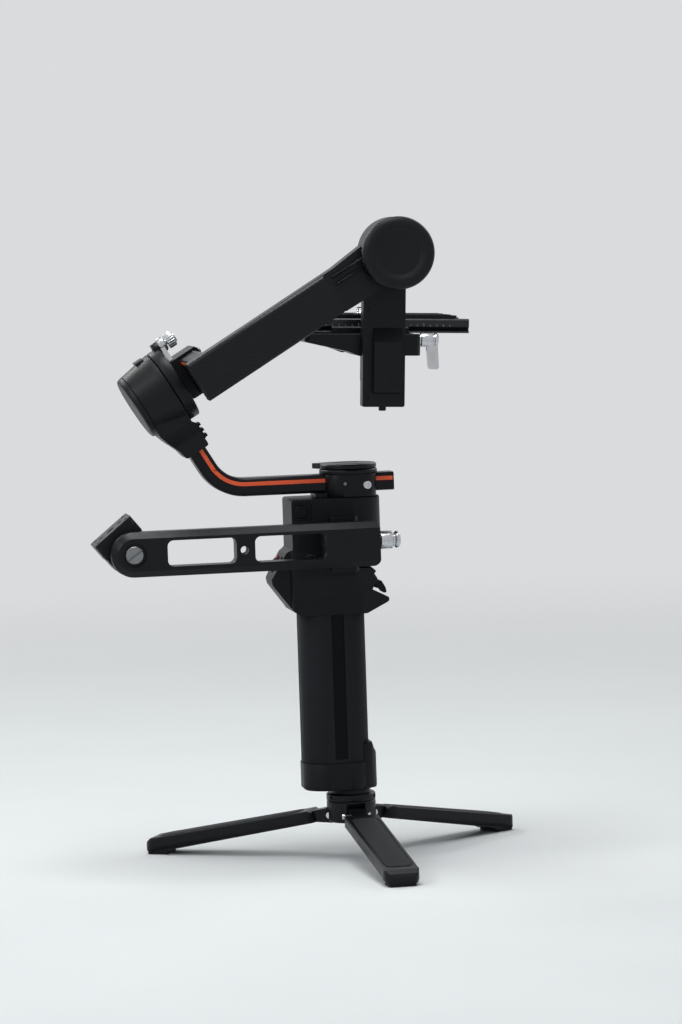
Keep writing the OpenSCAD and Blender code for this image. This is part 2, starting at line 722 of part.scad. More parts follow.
module roll_knob() stand() color(steel) on_roll() translate([-knob_s, 0, knob_t]) {
  translate([-ear_l, 0, 0]) along_x() cylinder(r = 1.9, h = 18);
  along_x() turned(6, 5.7, 1);
  translate([6.7, 0, 0]) along_x() fluted(6.2, 6.5, 20, 0.8);
  translate([13, 0, 0]) along_x() turned(4, 1.4, 0.4);
  front_slab(0, 3.2) polygon([[-9, -12.5], [-5.4, -12.5], [-1.5, -2], [-5.5, -1]]);
}

// Roll arm

bar_end = 28;

module roll_bar() stand() color(black) on_roll() difference() {
  union() {
    translate([-bar_s, 0, 0]) side_slab(-tube_in - 4, bar_end) rounded(bar_t, bar_h, 2);
    translate([0, -tube_mid, 0]) front_slab(-tube_rear, -tube_rear + 23) rounded(tube_t - 3, bar_h, 2.4);
  }
  translate([-bar_s - bar_t / 2 - 0.4, -tube_in + 5, 9.8]) cube([0.8, tube_in + bar_end - 8, 2.8]);
  for (y = [-50 : 10 : 20]) translate([-bar_s + bar_t / 2 - 0.5, y, 0]) along_x()
    cylinder(r = 1, h = 3, $fn = 16);
}

module roll_tube() stand() color(carbon) on_roll() difference() {
  translate([0, -tube_mid, 0]) front_slab(-tube_rear, -tube_front) rounded(tube_t, tube_h, 3.4);
  translate([0, -tube_mid, 0]) front_slab(-tube_rear - 1, -tube_front + 1)
    rounded(tube_t - 3, tube_h - 3, 2.4);
  translate([-tube_rear - 1, -tube_in - 5, -bar_h / 2]) cube([24, 7, bar_h]);
}

// Tilt motor: local y runs along the tilt axis, to the left

tilt_face = 103;
cap_t = 4.6;
drum_in = 73;

module on_tilt() translate([tilt_x, 0, tilt_z]) children();

// Swings the camera's side of the tilt motor round the tilt axis, out of an upright drawing
module levelled() stand() on_tilt() rotate([0, plate_slope, 0]) translate([-tilt_x, 0, -tilt_z]) children();

module tilt_housing() stand() color(black) difference() {
  union() {
    on_tilt() translate([0, -tilt_face + cap_t, 0]) along_y()
      turned(tilt_r - 0.5, tilt_face - cap_t - drum_in, 0.8);
    on_roll() {
      translate([0, -tube_mid, 0]) front_slab(-tube_front - 14, -tube_front)
        rounded(tube_t - 3, tube_h - 3, 2.4);
      intersection() {
        side_slab(-tube_out, -drum_in) soften(1) polygon([
          [-tube_front, -tube_h / 2], [-tube_front, tube_h / 2], [-46, tube_h / 2], [-12, 19],
            [-8, -20], [-30, -16.5]
        ]);
        translate([0, -tube_mid, 0]) front_slab(-tube_front, 0) rounded(tube_t, 44, 3);
      }
      for (z = [5, 11]) translate([-50, -tube_out - 0.9, z]) front_slab(0, 26) rounded(3, 2.2, 1);
    }
  }
  on_tilt() translate([0, -tilt_face + cap_t - 1, 0]) along_y() cylinder(r = 21.8, h = 22.4);
  on_tilt() translate([0, -85, 0]) along_y() cylinder(r = 9, h = 20);
}

module tilt_cap() stand() color(black) on_tilt() translate([0, -tilt_face, 0])
  along_y() rotate_extrude() difference() {
  polygon([[0, 1.8], [16, 1.8], [19.5, 0.2], [20.6, 0], [23.6, 0.3], [26, 1.6], [tilt_r, 3.4],
    [tilt_r, cap_t - 0.5],
    [tilt_r - 0.5, cap_t], [21.6, cap_t], [21.6, cap_t + 2], [12, cap_t + 2], [12, 8.2], [0, 8.2]]);
  translate([0, 3.4]) square([9, 10]);
}

module tilt_stator() stand() color(copper) on_tilt() translate([0, -93, 0])
  along_y() stator(21.8, 13.6, 11);

module tilt_bearings() stand() color(steel) on_tilt() {
  translate([0, -tilt_face + 3.4, 0]) along_y() bearing(9, 4.6);
  translate([0, -77.8, 0]) along_y() bearing(9, 4.6);
}

rotor_face = 72.5;
column_out = 64;
column_in = 54;

module tilt_rotor() levelled() color(steel) on_tilt() {
  translate([0, -tilt_face + 4, 0]) along_y() cylinder(r = shaft_r, h = tilt_face - 4 - column_out);
  translate([0, -93, 0]) along_y() magnet_core(13.2, 11);
  translate([0, -rotor_face, 0]) along_y() turned(23, rotor_face - column_out, 0.6);
}

slot_w = 12;
slot_flare = 3;
slot_d = 5;

// Dovetail down the column's inner face, drawn with y towards the camera
module slot_outline(less = 0) polygon([
  [-slot_w / 2 + less, 0], [-slot_w / 2 - slot_flare + less, -slot_d + less],
  [slot_w / 2 + slot_flare - less, -slot_d + less], [slot_w / 2 - less, 0],
  [slot_w / 2 - less, 2], [-slot_w / 2 + less, 2]
]);

column_x = tilt_x - 3.5;
badge_x = -1;
badge_w = 21.8;
badge_t = 5.5;

module tilt_column() levelled() color(black) difference() {
  union() {
    side_slab(-column_out, -column_in) union() {
      translate([column_x, (column_foot + tilt_z) / 2 - 8])
        rounded(column_w, tilt_z - column_foot - 16, 1.6);
      translate([tilt_x, tilt_z]) circle(22);
      translate([column_x - column_w / 2, tilt_z - 40]) square([column_w, 40]);
    }
    translate([tilt_x + badge_x - badge_w / 2, 0, 0]) front_slab(0, badge_w) polygon([
      [-column_out + 1, 355], [-column_out, 355], [-column_out - badge_t + 0.3, 356],
      [-column_out - badge_t, 357], [-column_out - badge_t, 393.7], [-column_out, 404],
        [-column_out + 1, 404]
    ]);
    translate([column_x, -(column_out + column_in) / 2, column_foot - 3]) turned(2.8, 4, 0.5);
  }
  translate([column_x, -column_in, column_foot + 4.5]) linear_extrude(84) slot_outline();
  for (z = [352, 418]) translate([column_x - 12.4, -column_out - 1, z]) rotate([-90, 0, 0])
    cylinder(r = 1.3, h = 2, $fn = 24);
}

// Camera carrier

carrier_rear = -6;
carrier_tail = -30;
carrier_nose = 58.3;
flange_low = 362;
plate_w = 48;
plate_h = 11;
plate_low = carrier_z + gap;
groove_z = carrier_z + 3;
jaw_in = plate_w / 2 + gap;

// Jaw that grips the side of the lower plate, drawn for the left side
module jaw_outline(thick) polygon([
  [jaw_in, carrier_z - 8], [jaw_in, groove_z - 2.2], [jaw_in - 2.3, groove_z], [jaw_in, groove_z + 2.2],
  [jaw_in + thick - 1, groove_z + 2.2], [jaw_in + thick, groove_z + 1.2], [jaw_in + thick, carrier_z - 8]
]);

lever_y = -30.2;
lever_z = carrier_z - 4.7;

lock_z = 370.5;
jaw_travel = 2;

module carrier() levelled() color(black) difference() {
  union() {
    intersection() {
      side_slab(-column_in + gap, 40) soften(1.6) polygon([
        [carrier_tail, carrier_z - 5.7], [carrier_tail, carrier_z], [carrier_nose, carrier_z],
        [carrier_nose, carrier_z - 15.8], [16, carrier_z - 15.8], [12, carrier_z - 16.3],
          [2.1, carrier_z - 12.6],
        [-19.8, carrier_z - 8]
      ]);
      level_slab(370, carrier_z + 4) translate([(carrier_nose + carrier_tail) / 2, -11.5])
        rounded(carrier_nose - carrier_tail, 85, 5);
    }
    front_slab(carrier_rear, carrier_nose) jaw_outline(6);
    side_slab(-column_in + gap, -column_in + 7) translate([column_x, (flange_low + carrier_z + 6) / 2])
      rounded(30, carrier_z + 6 - flange_low, 3);
    translate([column_x, -column_in, flange_low]) linear_extrude(40) slot_outline(gap);
  }
  translate([carrier_rear, -jaw_in - 7 - jaw_travel - gap, carrier_z - 9])
    cube([carrier_nose - carrier_rear - 5, 7.4 + jaw_travel + gap, 30]);
  translate([32, lever_y, lever_z]) along_x() cylinder(r = 3 + run, h = 40);
  translate([column_x, -column_in - 5, lock_z]) along_y() cylinder(r = 3 + run, h = 60);
  level_slab(378, carrier_z - 5) translate([28, 4]) rounded(44, 40, 6);
}

module column_lever() levelled() color(black) translate([column_x, 0, lock_z]) {
  translate([0, -column_in - 3, 0]) along_y() cylinder(r = 3, h = 14);
  translate([0, -column_in + 7.3, 0]) along_y() turned(6, 6, 0.6);
  translate([-3.5, -column_in + 8, -20]) cube([7, 4.6, 20]);
  translate([0, -column_in + 8, -20]) along_y() cylinder(r = 3.5, h = 4.6, $fn = 32);
}

module plate_jaw() levelled() color(dark) difference() {
  mirror([0, 1, 0]) front_slab(carrier_rear + gap, carrier_nose - 5.3) jaw_outline(6.8);
  translate([carrier_nose - 30, lever_y - 3.2, carrier_z - 9]) cube([40, 9, lever_z + 12.2 - carrier_z]);
}

module plate_lever() levelled() color(steel) translate([carrier_nose, lever_y, lever_z]) {
  translate([-24, 0, 0]) along_x() cylinder(r = 3, h = 30);
  translate([gap, 0, 0]) along_x() turned(4.6, 4, 0.4);
  translate([3.7, 0, 0]) along_x() turned(5.6, 9.6, 0.6);
  translate([13, 0, 0]) along_x() cylinder(r = 4.6, h = 2);
  translate([13.9, 0, 0]) along_x() turned(5.2, 3.2, 0.8);
  side_slab(-3.2, 1.4) polygon([
    [8, 0], [16.5, 0], [17.8, -20.6], [16.6, -22], [10.8, -22], [9.6, -20.6]
  ]);
}

module lower_plate() levelled() color(dark) difference() {
  translate([-39.2, 0, 0]) front_slab(0, lower_plate_l) for (m = [0, 1]) mirror([m, 0]) polygon([
    [-1, plate_low], [plate_w / 2 - 0.4, plate_low], [plate_w / 2, plate_low + 0.4],
      [plate_w / 2, groove_z - 2.2],
    [plate_w / 2 - 2.3, groove_z], [plate_w / 2, groove_z + 2.2], [plate_w / 2, carrier_z + plate_h - 1],
    [plate_w / 2 - 1, carrier_z + plate_h], [-1, carrier_z + plate_h]
  ]);
  translate([-60, 0, 0]) front_slab(0, 200) upper_rail(gap);
  for (x = [-20, 0, 56, 76]) translate([x, 0, carrier_z - 1]) linear_extrude(6) rounded(14, 12, 3);
  translate([latch_x, plate_w / 2 - 4.5, latch_z]) along_y() cylinder(r = 1.5 + run, h = 8);
}

rail_neck = 15;
rail_foot = 18;

// The upper plate's dovetail
module upper_rail(more = 0) translate([0, carrier_z + plate_h]) polygon([
  [-rail_neck - more, 1], [-rail_neck - more, -1.4 - more], [-rail_foot - more, -4.4 - more],
  [rail_foot + more, -4.4 - more], [rail_neck + more, -1.4 - more], [rail_neck + more, 1]
]);

camera_x = 22;
latch_x = 62;
latch_z = carrier_z + plate_h - 2.8;

module plate_latch() levelled() color(steel) translate([latch_x, plate_w / 2 + gap, latch_z]) {
  translate([0, -4, 0]) along_y() cylinder(r = 1.5, h = 5);
  along_y() turned(2.6, 2.8, 0.4);
  translate([0, 0, -1.5]) cube([17, 2.8, 3]);
}

module upper_plate() levelled() color(black) difference() {
  union() {
    translate([-28, 0, 0]) front_slab(0, upper_plate_l) union() {
      upper_rail();
      translate([0, carrier_z + plate_h + gap + 1.1]) square([40, 2.2], center = true);
    }
    translate([camera_x, 0, carrier_z + 8]) cylinder(r = 3.175, h = 11);
  }
  for (x = [-12, 56, 76]) translate([x, 0, carrier_z]) linear_extrude(20) rounded(16, 7, 3.4);
}

// Side arm

module window(x0, x1, h) translate([(x0 + x1) / 2, side_z + 0.2]) rounded(x1 - x0, h, 4.5);

pivot_r = 4;

module side_outline() {
  translate([-end_x, side_z]) circle(side_h / 2);
  translate([-end_x, side_z - side_h / 2]) square([end_x + 8, side_h]);
  translate([0, side_z]) rounded(36, side_h, 5);
}

bevel_h = 4.6;
bevel_y = 4;

// The side arm cut across: wide bevels on its outer face, narrow ones on the inner
module side_section() for (m = [0, 1]) mirror([0, m]) polygon([
  [-side_out, -1], [-side_out, side_h / 2 - bevel_h], [-side_out + bevel_y, side_h / 2],
  [-side_in - 1.4, side_h / 2], [-side_in, side_h / 2 - 1.4], [-side_in, -1]
]);

module side_arm() stand() color(black) difference() {
  union() {
    intersection() {
      side_slab(-side_out, -side_in) side_outline();
      front_slab(-end_x, 30) translate([0, side_z]) side_section();
    }
    translate([-end_x, -side_out, side_z]) along_y() rotate_extrude() polygon([
      [0, 0], [side_h / 2 - bevel_h, 0], [side_h / 2, bevel_y], [side_h / 2, side_t - 1.4],
        [side_h / 2 - 1.4, side_t],
      [0, side_t]
    ]);
    translate([-end_x, -side_in, side_z]) along_y() tube(11, pivot_r, 1.2);
    level_slab(side_z - 14, side_z + 14) translate([rail_x, 0]) difference() {
      translate([-19, -side_in - 0.01]) square([28, side_in - body_w / 2 - 0.6]);
      translate([0, -body_w / 2]) mirror([0, 1]) rail_outline(gap);
      translate([rail_w / 2 - 5, -body_w / 2 - rail_t - 1.6]) square([20, 20]);
    }
  }
  side_slab(-side_out - 1, -side_in + 1) window(-142.6, -90.9, 19.4);
  side_slab(-side_out - 1, -side_in + 1) window(-76.9, -23, 19.4);
  translate([-end_x, -side_out - 1, side_z]) along_y() cylinder(r = 9, h = 3.4);
  translate([-end_x, -side_out, side_z]) along_y() cylinder(r = pivot_r, h = 40);
  translate([-84.8, -side_out - 1, side_z]) along_y() cylinder(r = 3.175, h = side_t + 2);
  translate([-30, -knob_y, side_z + 1]) along_x() cylinder(r = 3 + run, h = 60);
}

knob_y = 41;
jaw_high = 12;

module clamp_jaw() stand() color(black) difference() {
  level_slab(side_z - jaw_high, side_z + jaw_high) translate([rail_x, 0]) difference() {
    union() {
      translate([rail_w / 2 - 4.7, -body_w / 2 - rail_t - 1.3]) square([9.6, 6.6]);
      translate([9.3, -46.7]) square([6.2, 46.7 - body_w / 2 - 2]);
    }
    translate([0, -body_w / 2]) mirror([0, 1]) rail_outline(gap);
    translate([-10, -body_w / 2 - 0.6]) square([40, 10]);
  }
  translate([-30, -knob_y, side_z + 1]) along_x() cylinder(r = 3.3, h = 60);
}

module clamp_knob() stand() color(steel) translate([0, -knob_y, side_z + 1]) {
  translate([-16, 0, 0]) along_x() cylinder(r = 3, h = 40);
  translate([15.5, 0, 0]) along_x() turned(4.4, 6.5, 0.4);
  translate([21, 0, 0]) along_x() turned(6.9, 9.8, 0.7);
  translate([30, 0, 0]) along_x() cylinder(r = 5.2, h = 3);
  translate([31.8, 0, 0]) along_x() turned(6.5, 4.6, 1.6);
}

block_d = 30;
block_h = 22.2;
block_w = 35.4;
boss_r = 17;

module end_block() stand() color(dark) translate([-end_x, 0, side_z]) rotate([0, -block_slope,
  0]) difference() {
  union() {
    side_slab(-side_in + 1.5, -side_in + block_d) union() {
      circle(boss_r);
      translate([-boss_r, 0]) square([2 * boss_r, block_h - 6]);
    }
    level_slab(block_h - 13.8, block_h) translate([0, -side_in + block_d / 2 + 0.75])
      rounded(block_w, block_d - 1.5, 3);
    translate([0, -side_out + 2.6, 0]) along_y() cylinder(r = pivot_r - run, h = 20);
    translate([0, -side_out + 0.2, 0]) along_y() turned(6.5, 1.9, 0.4);
    translate([0, -side_out + 1, 0]) along_y() cylinder(r = pivot_r - run, h = 3);
  }
  translate([0, -side_out - 0.2, 0]) rotate([0, block_slope - 35, 0]) translate([-8, 0, -0.6])
    cube([16, 1.2, 1.2]);
  translate([0, -side_in + block_d / 2, block_h - 8]) cylinder(r = 3.175, h = 12);
  for (x = [-9, 9]) translate([x, -side_in + block_d / 2, block_h - 4]) cylinder(r = 2, h = 8);
  for (x = [-13.6, 13.6], y = [-9, 9]) translate([x, -side_in + block_d / 2 + y, block_h - 2])
    cylinder(r = 1.6, h = 8, $fn = 24);
}

tripod_hub();
hub_screw();
leg_pins();
leg_front();
leg_left();
leg_right();
foot_pads_front();
foot_pads_left();
foot_pads_right();
grip_base();
grip_shell();
grip_panels();
battery_cells();
grip_lock();
body_shell();
body_cover();
touchscreen();
main_board();
accessory_rails();
front_dial();
trigger();
joystick_gimbal();
joystick_cap();
mode_button();
record_button();
power_button();
pan_stator();
pan_bearings();
pan_rotor();
pan_clamp();
pan_lever();
pan_arm();
arm_stripes();
roll_housing();
roll_cap();
roll_stator();
roll_bearings();
roll_lock();
roll_rotor();
roll_clamp();
roll_knob();
roll_bar();
roll_tube();
tilt_housing();
tilt_cap();
tilt_stator();
tilt_bearings();
tilt_rotor();
tilt_column();
carrier();
column_lever();
plate_jaw();
plate_lever();
plate_latch();
lower_plate();
upper_plate();
side_arm();
clamp_jaw();
clamp_knob();
end_block();
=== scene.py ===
import json
import math

import bmesh
import bpy
from mathutils import Matrix, Vector

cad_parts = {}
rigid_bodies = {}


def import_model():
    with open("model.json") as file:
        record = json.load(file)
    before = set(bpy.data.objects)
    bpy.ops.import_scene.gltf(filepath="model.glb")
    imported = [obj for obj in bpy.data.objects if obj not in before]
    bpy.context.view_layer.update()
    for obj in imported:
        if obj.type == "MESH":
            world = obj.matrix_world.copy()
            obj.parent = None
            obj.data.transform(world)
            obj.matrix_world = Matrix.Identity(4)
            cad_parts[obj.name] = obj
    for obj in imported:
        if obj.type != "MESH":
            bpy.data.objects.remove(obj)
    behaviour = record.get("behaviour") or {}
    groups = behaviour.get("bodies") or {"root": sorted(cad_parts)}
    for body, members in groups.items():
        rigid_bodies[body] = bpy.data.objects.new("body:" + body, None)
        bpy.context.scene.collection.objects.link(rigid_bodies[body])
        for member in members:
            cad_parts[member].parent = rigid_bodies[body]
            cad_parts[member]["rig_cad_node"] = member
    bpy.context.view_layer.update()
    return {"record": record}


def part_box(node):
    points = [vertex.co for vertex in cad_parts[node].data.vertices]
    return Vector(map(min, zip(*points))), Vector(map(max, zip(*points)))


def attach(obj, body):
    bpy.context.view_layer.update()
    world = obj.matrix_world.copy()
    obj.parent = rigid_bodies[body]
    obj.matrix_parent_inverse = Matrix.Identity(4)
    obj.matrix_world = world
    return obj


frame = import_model()
scene = bpy.context.scene
cad_objects = {o["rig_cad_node"]: o for o in scene.objects if "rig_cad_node" in o}

# ---------------------------------------------------------------- frames

# The hub screw stands on the handle's axis, so its box gives where the handle is
screw_lo, screw_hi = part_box("hub_screw")
STAND = Vector(((screw_lo.x + screw_hi.x) / 2, (screw_lo.y + screw_hi.y) / 2, 0.0))
ROLL_SLOPE = math.radians(31)
PLATE_SLOPE = math.radians(2.5)
TRIPOD_TURN = 2.8  # degrees
LEG_DROP = math.radians(10)
LEG_PIN_OUT, LEG_PIN_UP = 14.5, 32.0  # millimetres
TILT = Vector((0.0316, 0.0, 0.4602))  # the tilt axis above the handle's axes


def at_handle(x=0.0, y=0.0, z=0.0):
    """A place in the handle's own axes, in millimetres."""
    return Matrix.Translation(STAND + Vector((x, y, z)) * 0.001)


def on_roll(s=0.0, y=0.0, t=0.0):
    """x along the roll axis, z square to it; origin on the tilt axis."""
    turn = Matrix.Rotation(-ROLL_SLOPE, 4, "Y")
    return Matrix.Translation(STAND + TILT) @ turn @ Matrix.Translation(Vector((s, y, t)) * 0.001)


def levelled(x=0.0, y=0.0, z=0.0):
    """A place beyond the tilt motor: the handle's millimetres, turned by the plates' slope."""
    turn = Matrix.Rotation(PLATE_SLOPE, 4, "Y")
    return Matrix.Translation(STAND + TILT) @ turn @ Matrix.Translation(Vector((x, y, z)) * 0.001 - TILT)


def on_leg(angle, along=0.0, across=0.0, up=0.0):
    """x along a spread leg from its pin, z square to the leg's top."""
    pin = Matrix.Translation(Vector((LEG_PIN_OUT, 0, LEG_PIN_UP)) * 0.001)
    drop = Matrix.Rotation(LEG_DROP, 4, "Y")
    return (Matrix.Translation(STAND) @ Matrix.Rotation(math.radians(angle), 4, "Z") @ pin @ drop
            @ Matrix.Translation(Vector((along, across, up)) * 0.001))


FACE = {
    "+z": Matrix.Identity(4),
    "-z": Matrix.Rotation(math.pi, 4, "X"),
    "-y": Matrix.Rotation(math.pi / 2, 4, "X"),
    "+y": Matrix.Rotation(-math.pi / 2, 4, "X"),
    "+x": Matrix.Rotation(math.pi / 2, 4, "Y"),
    "-x": Matrix.Rotation(-math.pi / 2, 4, "Y"),
}

# ---------------------------------------------------------------- materials


class Graph:
    """A small node-tree writer round one Principled shader."""

    def __init__(self, name):
        self.mat = bpy.data.materials.new(name)
        self.mat.use_nodes = True
        self.tree = self.mat.node_tree
        self.tree.nodes.clear()
        self.out = self.tree.nodes.new("ShaderNodeOutputMaterial")
        self.bsdf = self.tree.nodes.new("ShaderNodeBsdfPrincipled")
        self.tree.links.new(self.bsdf.outputs[0], self.out.inputs[0])
        self.coords = self.tree.nodes.new("ShaderNodeTexCoord").outputs["Object"]

    def put(self, kind, inputs=None, **props):
        n = self.tree.nodes.new(kind)
        for k, v in props.items():
            setattr(n, k, v)
        for k, v in (inputs or {}).items():
            if hasattr(v, "is_output"):
                self.tree.links.new(v, n.inputs[k])
            else:
                n.inputs[k].default_value = v
        return n

    def scaled(self, sx, sy, sz):
        return self.put("ShaderNodeMapping", {"Vector": self.coords, "Scale": (sx, sy, sz)}).outputs[0]

    def noise(self, scale, detail=4.0, rough=0.6, vector=None):
        inputs = {"Vector": vector or self.coords, "Scale": scale, "Detail": detail, "Roughness": rough}
        return self.put("ShaderNodeTexNoise", inputs).outputs["Fac"]

    def ramp(self, fac, stops):
        n = self.put("ShaderNodeValToRGB", {"Fac": fac})
        e = n.color_ramp.elements
        while len(e) < len(stops):
            e.new(0.5)
        for el, (pos, col) in zip(e, stops):
            el.position = pos
            el.color = (*col, 1) if hasattr(col, "__len__") else (col, col, col, 1)
        return n.outputs["Color"]

    def math(self, op, a, b=0.0, c=0.0):
        n = self.tree.nodes.new("ShaderNodeMath")
        n.operation = op
        for i, v in enumerate((a, b, c)):
            if hasattr(v, "is_output"):
                self.tree.links.new(v, n.inputs[i])
            else:
                n.inputs[i].default_value = v
        return n.outputs[0]

    def mix(self, fac, a, b):
        n = self.put("ShaderNodeMix", data_type="RGBA")
        for i, v in ((0, fac), (6, a), (7, b)):
            if hasattr(v, "is_output"):
                self.tree.links.new(v, n.inputs[i])
            else:
                n.inputs[i].default_value = v
        return n.outputs[2]

    def bump(self, height, strength, distance, after=None):
        inputs = {"Height": height, "Strength": strength, "Distance": distance}
        if after is not None:
            inputs["Normal"] = after
        return self.put("ShaderNodeBump", inputs).outputs[0]

    def link(self, socket, value):
        if hasattr(value, "is_output"):
            self.tree.links.new(value, self.bsdf.inputs[socket])
        else:
            self.bsdf.inputs[socket].default_value = value

    def done(self, **sockets):
        for k, v in sockets.items():
            self.link(k.replace("_", " "), v)
        return self.mat


def shade(color, k):
    return tuple(min(1.0, c * k) for c in color)


def anodised(name, color, rough=0.38, grain=0.06, spec=0.3):
    """Bead-blasted, anodised aluminium: fine grain, faint handling marks."""
    g = Graph(name)
    broad = g.noise(38, 3, 0.5)
    fine = g.noise(5200, 2, 0.5)
    marks = g.noise(260, 5, 0.7, g.scaled(1, 1, 0.25))
    base = g.ramp(broad, [(0.3, shade(color, 0.85)), (0.7, shade(color, 1.18))])
    worn = g.ramp(marks, [(0.62, 0.0), (0.8, 1.0)])
    base = g.mix(g.math("MULTIPLY", worn, 0.18), base, (*shade(color, 2.4), 1))
    r = g.math("MULTIPLY_ADD", marks, 0.22, rough - 0.09)
    normal = g.bump(fine, grain, 0.00006)
    return g.done(Base_Color=base, Roughness=r, Metallic=0.0, Normal=normal, Specular_IOR_Level=spec)


def moulded(name, color, rough=0.5, scale=2600, depth=0.25, spec=0.26):
    """Moulded plastic with a fine spark-eroded texture."""
    g = Graph(name)
    cells = g.put("ShaderNodeTexVoronoi", {"Vector": g.coords, "Scale": scale}).outputs["Distance"]
    broad = g.noise(30, 3, 0.5)
    dust = g.noise(420, 5, 0.65)
    base = g.ramp(broad, [(0.3, shade(color, 0.88)), (0.7, shade(color, 1.14))])
    dusty = g.math("MULTIPLY", g.ramp(dust, [(0.6, 0.0), (0.78, 1.0)]), 0.15)
    base = g.mix(dusty, base, (*shade(color, 2.2), 1))
    r = g.math("MULTIPLY_ADD", dust, 0.2, rough - 0.08)
    return g.done(Base_Color=base, Roughness=r, Normal=g.bump(cells, depth, 0.0001), Specular_IOR_Level=spec)


def rubber(name, color):
    """Soft rubber skin: dull, with a fine leather-like stipple."""
    g = Graph(name)
    stipple = g.put("ShaderNodeTexVoronoi", {"Vector": g.coords, "Scale": 1500.0}, feature="SMOOTH_F1")
    cells = stipple.outputs["Distance"]
    fine = g.noise(3000, 3, 0.6)
    broad = g.noise(24, 4, 0.55)
    base = g.ramp(broad, [(0.28, shade(color, 0.82)), (0.72, shade(color, 1.25))])
    r = g.math("MULTIPLY_ADD", broad, 0.18, 0.58)
    n1 = g.bump(cells, 0.35, 0.00018)
    return g.done(Base_Color=base, Roughness=r, Normal=g.bump(fine, 0.1, 0.00005, n1), Specular_IOR_Level=0.2)


DRAWN_LINES = (1, 1, 40)  # how much finer the lines run along each axis


def turned(name, color, rough, polish=0.1):
    """Turned or brushed bright metal with drawn lines."""
    g = Graph(name)
    lines = g.noise(900, 2, 0.5, g.scaled(*DRAWN_LINES))
    broad = g.noise(60, 4, 0.6)
    base = g.ramp(broad, [(0.3, shade(color, 0.86)), (0.7, shade(color, 1.06))])
    r = g.math("MULTIPLY_ADD", lines, 0.2, rough - 0.08)
    return g.done(Base_Color=base, Metallic=1.0, Roughness=r, Normal=g.bump(lines, polish, 0.00004))


WEAVE_PITCH = 0.001  # metres from thread to thread


def weave(name, dark, light):
    """Twill carbon cloth in the plane of x and z of the roll arm, under a clear coat."""
    g = Graph(name)
    along_arm = {"Vector": g.coords, "Rotation": (0, ROLL_SLOPE, 0), "Scale": (1 / WEAVE_PITCH,) * 3}
    v = g.put("ShaderNodeMapping", along_arm).outputs[0]
    sep = g.put("ShaderNodeSeparateXYZ", {"Vector": v})
    x, y, z = (sep.outputs[i] for i in range(3))
    zy = g.math("ADD", z, y)
    row = g.math("FLOOR", zy)
    col = g.math("FLOOR", x)
    twill = g.math("MODULO", g.math("ADD", g.math("ADD", row, col), 4000.0), 4.0)
    over = g.math("LESS_THAN", twill, 1.5)
    fx, fz = g.math("FRACT", x), g.math("FRACT", zy)
    across = g.math("MULTIPLY", g.math("SUBTRACT", fx, 0.5), g.math("SUBTRACT", fx, 0.5))
    along = g.math("MULTIPLY", g.math("SUBTRACT", fz, 0.5), g.math("SUBTRACT", fz, 0.5))
    height = g.math("ADD", g.math("MULTIPLY", over, g.math("SUBTRACT", 0.25, along)),
                    g.math("MULTIPLY", g.math("SUBTRACT", 1.0, over), g.math("SUBTRACT", 0.25, across)))
    tone = g.mix(over, (*dark, 1), (*light, 1))
    shadow = g.ramp(height, [(0.0, 0.35), (0.2, 1.0)])
    n = g.put("ShaderNodeMix", data_type="RGBA", blend_type="MULTIPLY")
    n.inputs[0].default_value = 1.0
    g.tree.links.new(tone, n.inputs[6])
    g.tree.links.new(shadow, n.inputs[7])
    r = g.math("MULTIPLY_ADD", over, 0.12, 0.34)
    return g.done(Base_Color=n.outputs[2], Roughness=r, Normal=g.bump(height, 0.08, 0.0002),
                  Coat_Weight=0.12, Coat_Roughness=0.3, Specular_IOR_Level=0.18)


def glass_screen(name):
    """Near-black glass with faint smears."""
    g = Graph(name)
    smear = g.noise(45, 5, 0.65)
    base = g.ramp(smear, [(0.3, (0.004, 0.004, 0.006)), (0.7, (0.010, 0.011, 0.014))])
    r = g.math("MULTIPLY_ADD", smear, 0.16, 0.02)
    return g.done(Base_Color=base, Roughness=r, Coat_Weight=1.0, Coat_Roughness=0.04)


def winding(name, color):
    """Copper wire laid in rows, with painted shade in the grooves between the wires."""
    g = Graph(name)
    wave = g.put("ShaderNodeTexWave", {"Vector": g.coords, "Scale": 900.0, "Distortion": 0.6}).outputs["Fac"]
    # Painted shade: where the wave is low, in the grooves that the bump sinks between the wires, the colour
    # drops to 0.4 of the copper.
    base = g.ramp(wave, [(0.1, shade(color, 0.4)), (0.6, color)])
    return g.done(Base_Color=base, Metallic=1.0, Roughness=0.35, Normal=g.bump(wave, 0.6, 0.0003))


